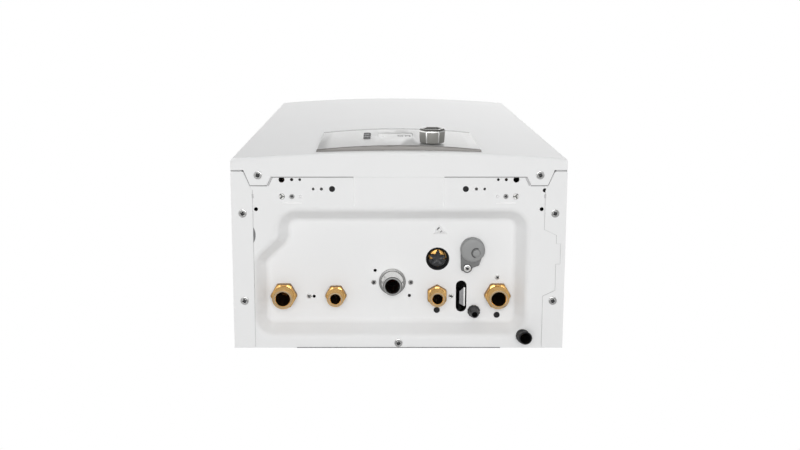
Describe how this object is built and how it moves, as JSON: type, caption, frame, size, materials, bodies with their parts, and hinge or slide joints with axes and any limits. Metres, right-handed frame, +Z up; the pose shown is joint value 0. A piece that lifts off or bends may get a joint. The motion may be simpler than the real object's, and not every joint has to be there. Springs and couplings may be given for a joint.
{
  "type": "wall-hung combination gas boiler",
  "caption": "Wall-hung combination gas boiler in a white crowned casing, with pipe connections in a pressed bottom recess and a control panel with knob, keys and display.",
  "frame": {"origin": "on the wall plane, midway between the two hanging holes in the rear panel", "axes": "+Z up, +Y into the wall, +X to the right seen from the front"},
  "size_m": [0.4, 0.2655, 0.757],
  "materials": {
    "white_enamel": "smooth satin enamel",
    "galvanised_steel": "zinc coated sheet",
    "stainless_steel": "brushed",
    "zinc_screw": "bright zinc",
    "brass_fitting": "turned, slightly dulled",
    "nickel_fitting": "nickel plated",
    "copper_tube": "drawn copper",
    "cast_metal": "painted casting",
    "die_cast": "die cast",
    "vessel_paint": "gloss paint",
    "silver_fascia": "silver satin",
    "knob_metal": "satin with bright edges",
    "key_plastic": "satin",
    "display_glass": "clear over a grey display",
    "white_plastic": "moulded",
    "grey_plastic": "moulded",
    "black_plastic": "moulded",
    "black_rubber": "matt",
    "circuit_board": "lacquered",
    "electrode_ceramic": "bare"
  },
  "bodies": {
    "boiler": {"bottom_plate": "white_enamel", "burner_bars": "stainless_steel", "burner_frame": "stainless_steel", "casing_screws": "zinc_screw", "cold_water_block": "brass_fitting", "cold_water_connection": "brass_fitting", "collar_screws": "zinc_screw", "combustion_chamber": "galvanised_steel", "control_board": "circuit_board", "control_box": "white_plastic", "control_fascia": "silver_fascia", "display_window": "display_glass", "diverter_actuator": "white_plastic", "diverter_body": "brass_fitting", "drain_valve_body": "brass_fitting", "expansion_vessel": "vessel_paint", "fan_housing": "galvanised_steel", "fan_motor": "cast_metal", "filling_tap_body": "brass_fitting", "flow_pipe": "copper_tube", "flue_collar": "galvanised_steel", "flue_hood": "galvanised_steel", "front_cover": "white_enamel", "gas_connection": "nickel_fitting", "gas_inlet_pipe": "copper_tube", "gas_manifold": "brass_fitting", "gas_valve": "die_cast", "hanging_rail": "galvanised_steel", "heating_flow_connection": "brass_fitting", "heating_return_connection": "brass_fitting", "hole_plugs": "black_rubber", "hot_water_connection": "brass_fitting", "hot_water_pipe": "copper_tube", "ignition_electrode": "electrode_ceramic", "left_frame_rail": "galvanised_steel", "left_side_panel": "white_enamel", "main_exchanger": "copper_tube", "plate_exchanger": "stainless_steel", "pump_body": "cast_metal", "pump_motor": "cast_metal", "rear_panel": "white_enamel", "relief_tube": "black_rubber", "relief_valve": "brass_fitting", "return_pipe": "copper_tube", "right_frame_rail": "galvanised_steel", "right_side_panel": "white_enamel", "service_cap": "grey_plastic", "slot_bracket": "galvanised_steel", "small_screws": "zinc_screw", "split_pegs": "white_plastic", "top_panel": "white_enamel"},
    "control_knob": {"control_knob": "knob_metal"},
    "lower_key": {"lower_key": "key_plastic"},
    "middle_key": {"middle_key": "key_plastic"},
    "upper_key": {"upper_key": "key_plastic"},
    "filling_tap_knob": {"filling_tap_knob": "black_plastic"},
    "drain_nozzle": {"drain_nozzle": "black_plastic"},
    "fan_impeller": {"fan_impeller": "zinc_screw"},
    "pump_impeller": {"pump_impeller": "white_plastic"},
    "diverter_spindle": {"diverter_spindle": "brass_fitting"}
  },
  "joints": [
    {"name": "knob_turn", "type": "hinge", "parent": "boiler", "child": "control_knob", "pos_m": [0.0407, -0.249, -0.634], "axis": [0, -1, 0], "range_deg": [-135, 135]},
    {"name": "lower_key_press", "type": "slide", "parent": "boiler", "child": "lower_key", "axis": [0, 1, 0], "range_m": [0, 0.0008], "stiffness_N_per_m": 1200, "springref_m": -0.0004},
    {"name": "middle_key_press", "type": "slide", "parent": "boiler", "child": "middle_key", "axis": [0, 1, 0], "range_m": [0, 0.0008], "stiffness_N_per_m": 1200, "springref_m": -0.0004},
    {"name": "upper_key_press", "type": "slide", "parent": "boiler", "child": "upper_key", "axis": [0, 1, 0], "range_m": [0, 0.0008], "stiffness_N_per_m": 1200, "springref_m": -0.0004},
    {"name": "tap_turn", "type": "hinge", "parent": "boiler", "child": "filling_tap_knob", "pos_m": [0.0477, -0.1075, -0.644], "axis": [0, 0, 1], "range_deg": [0, 270]},
    {"name": "drain_turn", "type": "hinge", "parent": "boiler", "child": "drain_nozzle", "pos_m": [0.0926, -0.042, -0.654], "axis": [0, 0, 1], "range_deg": [0, 270]},
    {"name": "fan_spin", "type": "hinge", "parent": "boiler", "child": "fan_impeller", "pos_m": [0, -0.128, -0.024], "axis": [0, 1, 0], "continuous": true},
    {"name": "pump_spin", "type": "hinge", "parent": "boiler", "child": "pump_impeller", "pos_m": [0.121, -0.071, -0.562], "axis": [0, 1, 0], "continuous": true},
    {"name": "diverter_slide", "type": "slide", "parent": "boiler", "child": "diverter_spindle", "axis": [0, 1, 0], "range_m": [0, 0.006]}
  ]
}
